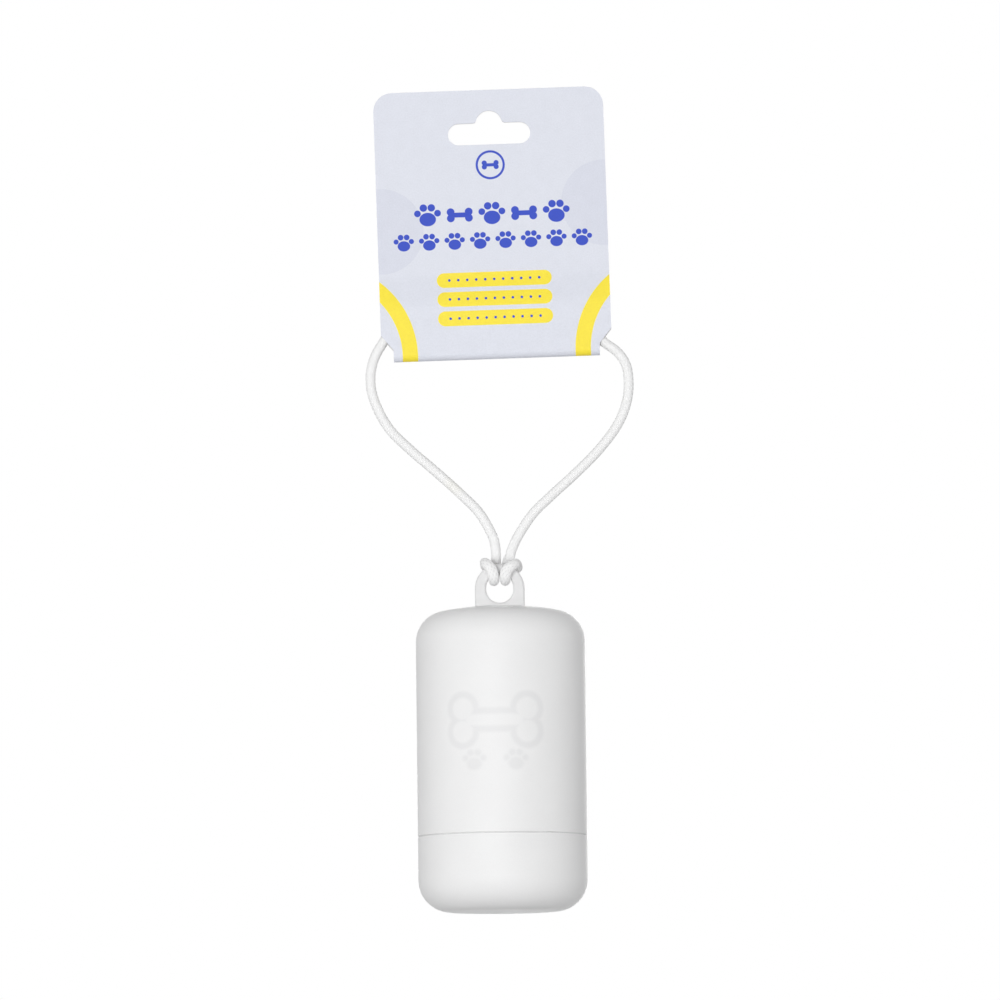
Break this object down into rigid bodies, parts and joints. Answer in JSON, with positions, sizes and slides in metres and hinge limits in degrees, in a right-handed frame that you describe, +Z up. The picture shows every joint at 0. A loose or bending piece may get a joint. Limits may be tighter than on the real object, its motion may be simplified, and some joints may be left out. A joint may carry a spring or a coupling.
{
  "type": "dog waste bag dispenser",
  "caption": "Pocket dispenser for dog waste bags: a screw-capped capsule with a loop tab, tied by an elastic cord to a folded hang card.",
  "frame": {"origin": "centre of the peg slot in the hang card, between its two leaves", "axes": "+Z up along the hanging housing's axis, front of the card towards -Y, +X to the right as seen from the front"},
  "size_m": [0.071, 0.045, 0.2204],
  "materials": {
    "shell_plastic": "matte",
    "cap_plastic": "matte",
    "cord": "matte",
    "card_board": "matte",
    "adhesive": "satin",
    "core_board": "matte",
    "bag_film": "satin"
  },
  "bodies": {
    "card": {"hang_card": "card_board", "card_tape": "adhesive", "cord_arch": "cord"},
    "cord_loop": {"cord_left": "cord", "cord_right": "cord"},
    "housing": {"upper_shell": "shell_plastic", "cord_hitch": "cord"},
    "core": {"roll_core": "core_board"},
    "roll": {"bag_roll": "bag_film"},
    "cap": {"lower_cap": "cap_plastic"}
  },
  "joints": [
    {"name": "cord_swing", "type": "hinge", "parent": "card", "child": "cord_loop", "pos_m": [0.00143, 0, -0.0565], "axis": [1, 0, 0], "range_deg": [-90, 90]},
    {"name": "housing_swing", "type": "hinge", "parent": "cord_loop", "child": "housing", "pos_m": [0.00143, 0, -0.1108], "axis": [1, 0, 0], "range_deg": [-90, 90]},
    {"name": "cap_drop", "type": "slide", "parent": "housing", "child": "core", "axis": [0, 0, -1], "range_m": [0, 0.012]},
    {"name": "cap_turn", "type": "hinge", "parent": "core", "child": "cap", "pos_m": [0.00143, 0, -0.1879], "axis": [0, 0, -1], "range_deg": [0, 360]},
    {"name": "roll_spin", "type": "hinge", "parent": "core", "child": "roll", "pos_m": [0.00143, 0, -0.1753], "axis": [0, 0, 1], "continuous": true}
  ],
  "couplings": [
    {"joint": "cap_turn", "follows": "cap_drop", "rad_per_m": 523.6}
  ]
}
